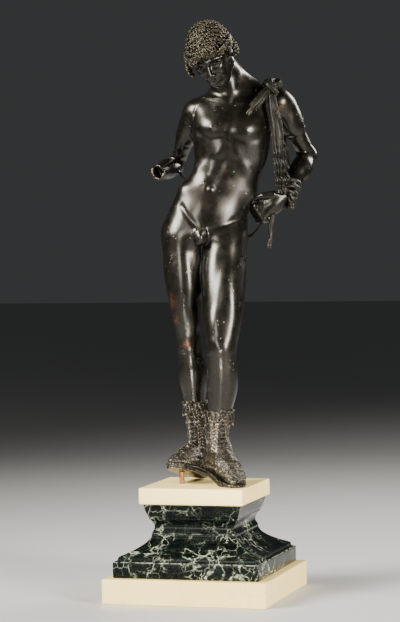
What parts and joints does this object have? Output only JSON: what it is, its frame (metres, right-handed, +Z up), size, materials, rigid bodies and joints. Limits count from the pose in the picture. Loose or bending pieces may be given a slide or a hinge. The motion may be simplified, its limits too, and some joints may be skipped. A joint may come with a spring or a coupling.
{
  "type": "bronze male figure on a marble plinth",
  "caption": "Standing nude male figure in dark bronze, head bowed, high laced boots and a knotted animal skin, on a stepped marble plinth; a statuette for display.",
  "frame": {"origin": "centre of the lowest marble slab's underside, the face the object stands on", "axes": "+Z up, -Y towards the plinth's front, +X to the right of a viewer at the front"},
  "size_m": [0.2435, 0.2532, 0.7765],
  "materials": {
    "base_slab": "honed cream marble",
    "green_socle": "polished near-black green marble with pale veins",
    "top_slab": "honed cream marble",
    "support_peg": "tarnished orange-brown metal",
    "bronze_figure": "dark brown-black patinated bronze, rubbed to a soft shine"
  },
  "bodies": {
    "root": {"base_slab": "base_slab", "green_socle": "green_socle", "top_slab": "top_slab", "support_peg": "support_peg", "bronze_figure": "bronze_figure"}
  },
  "joints": []
}
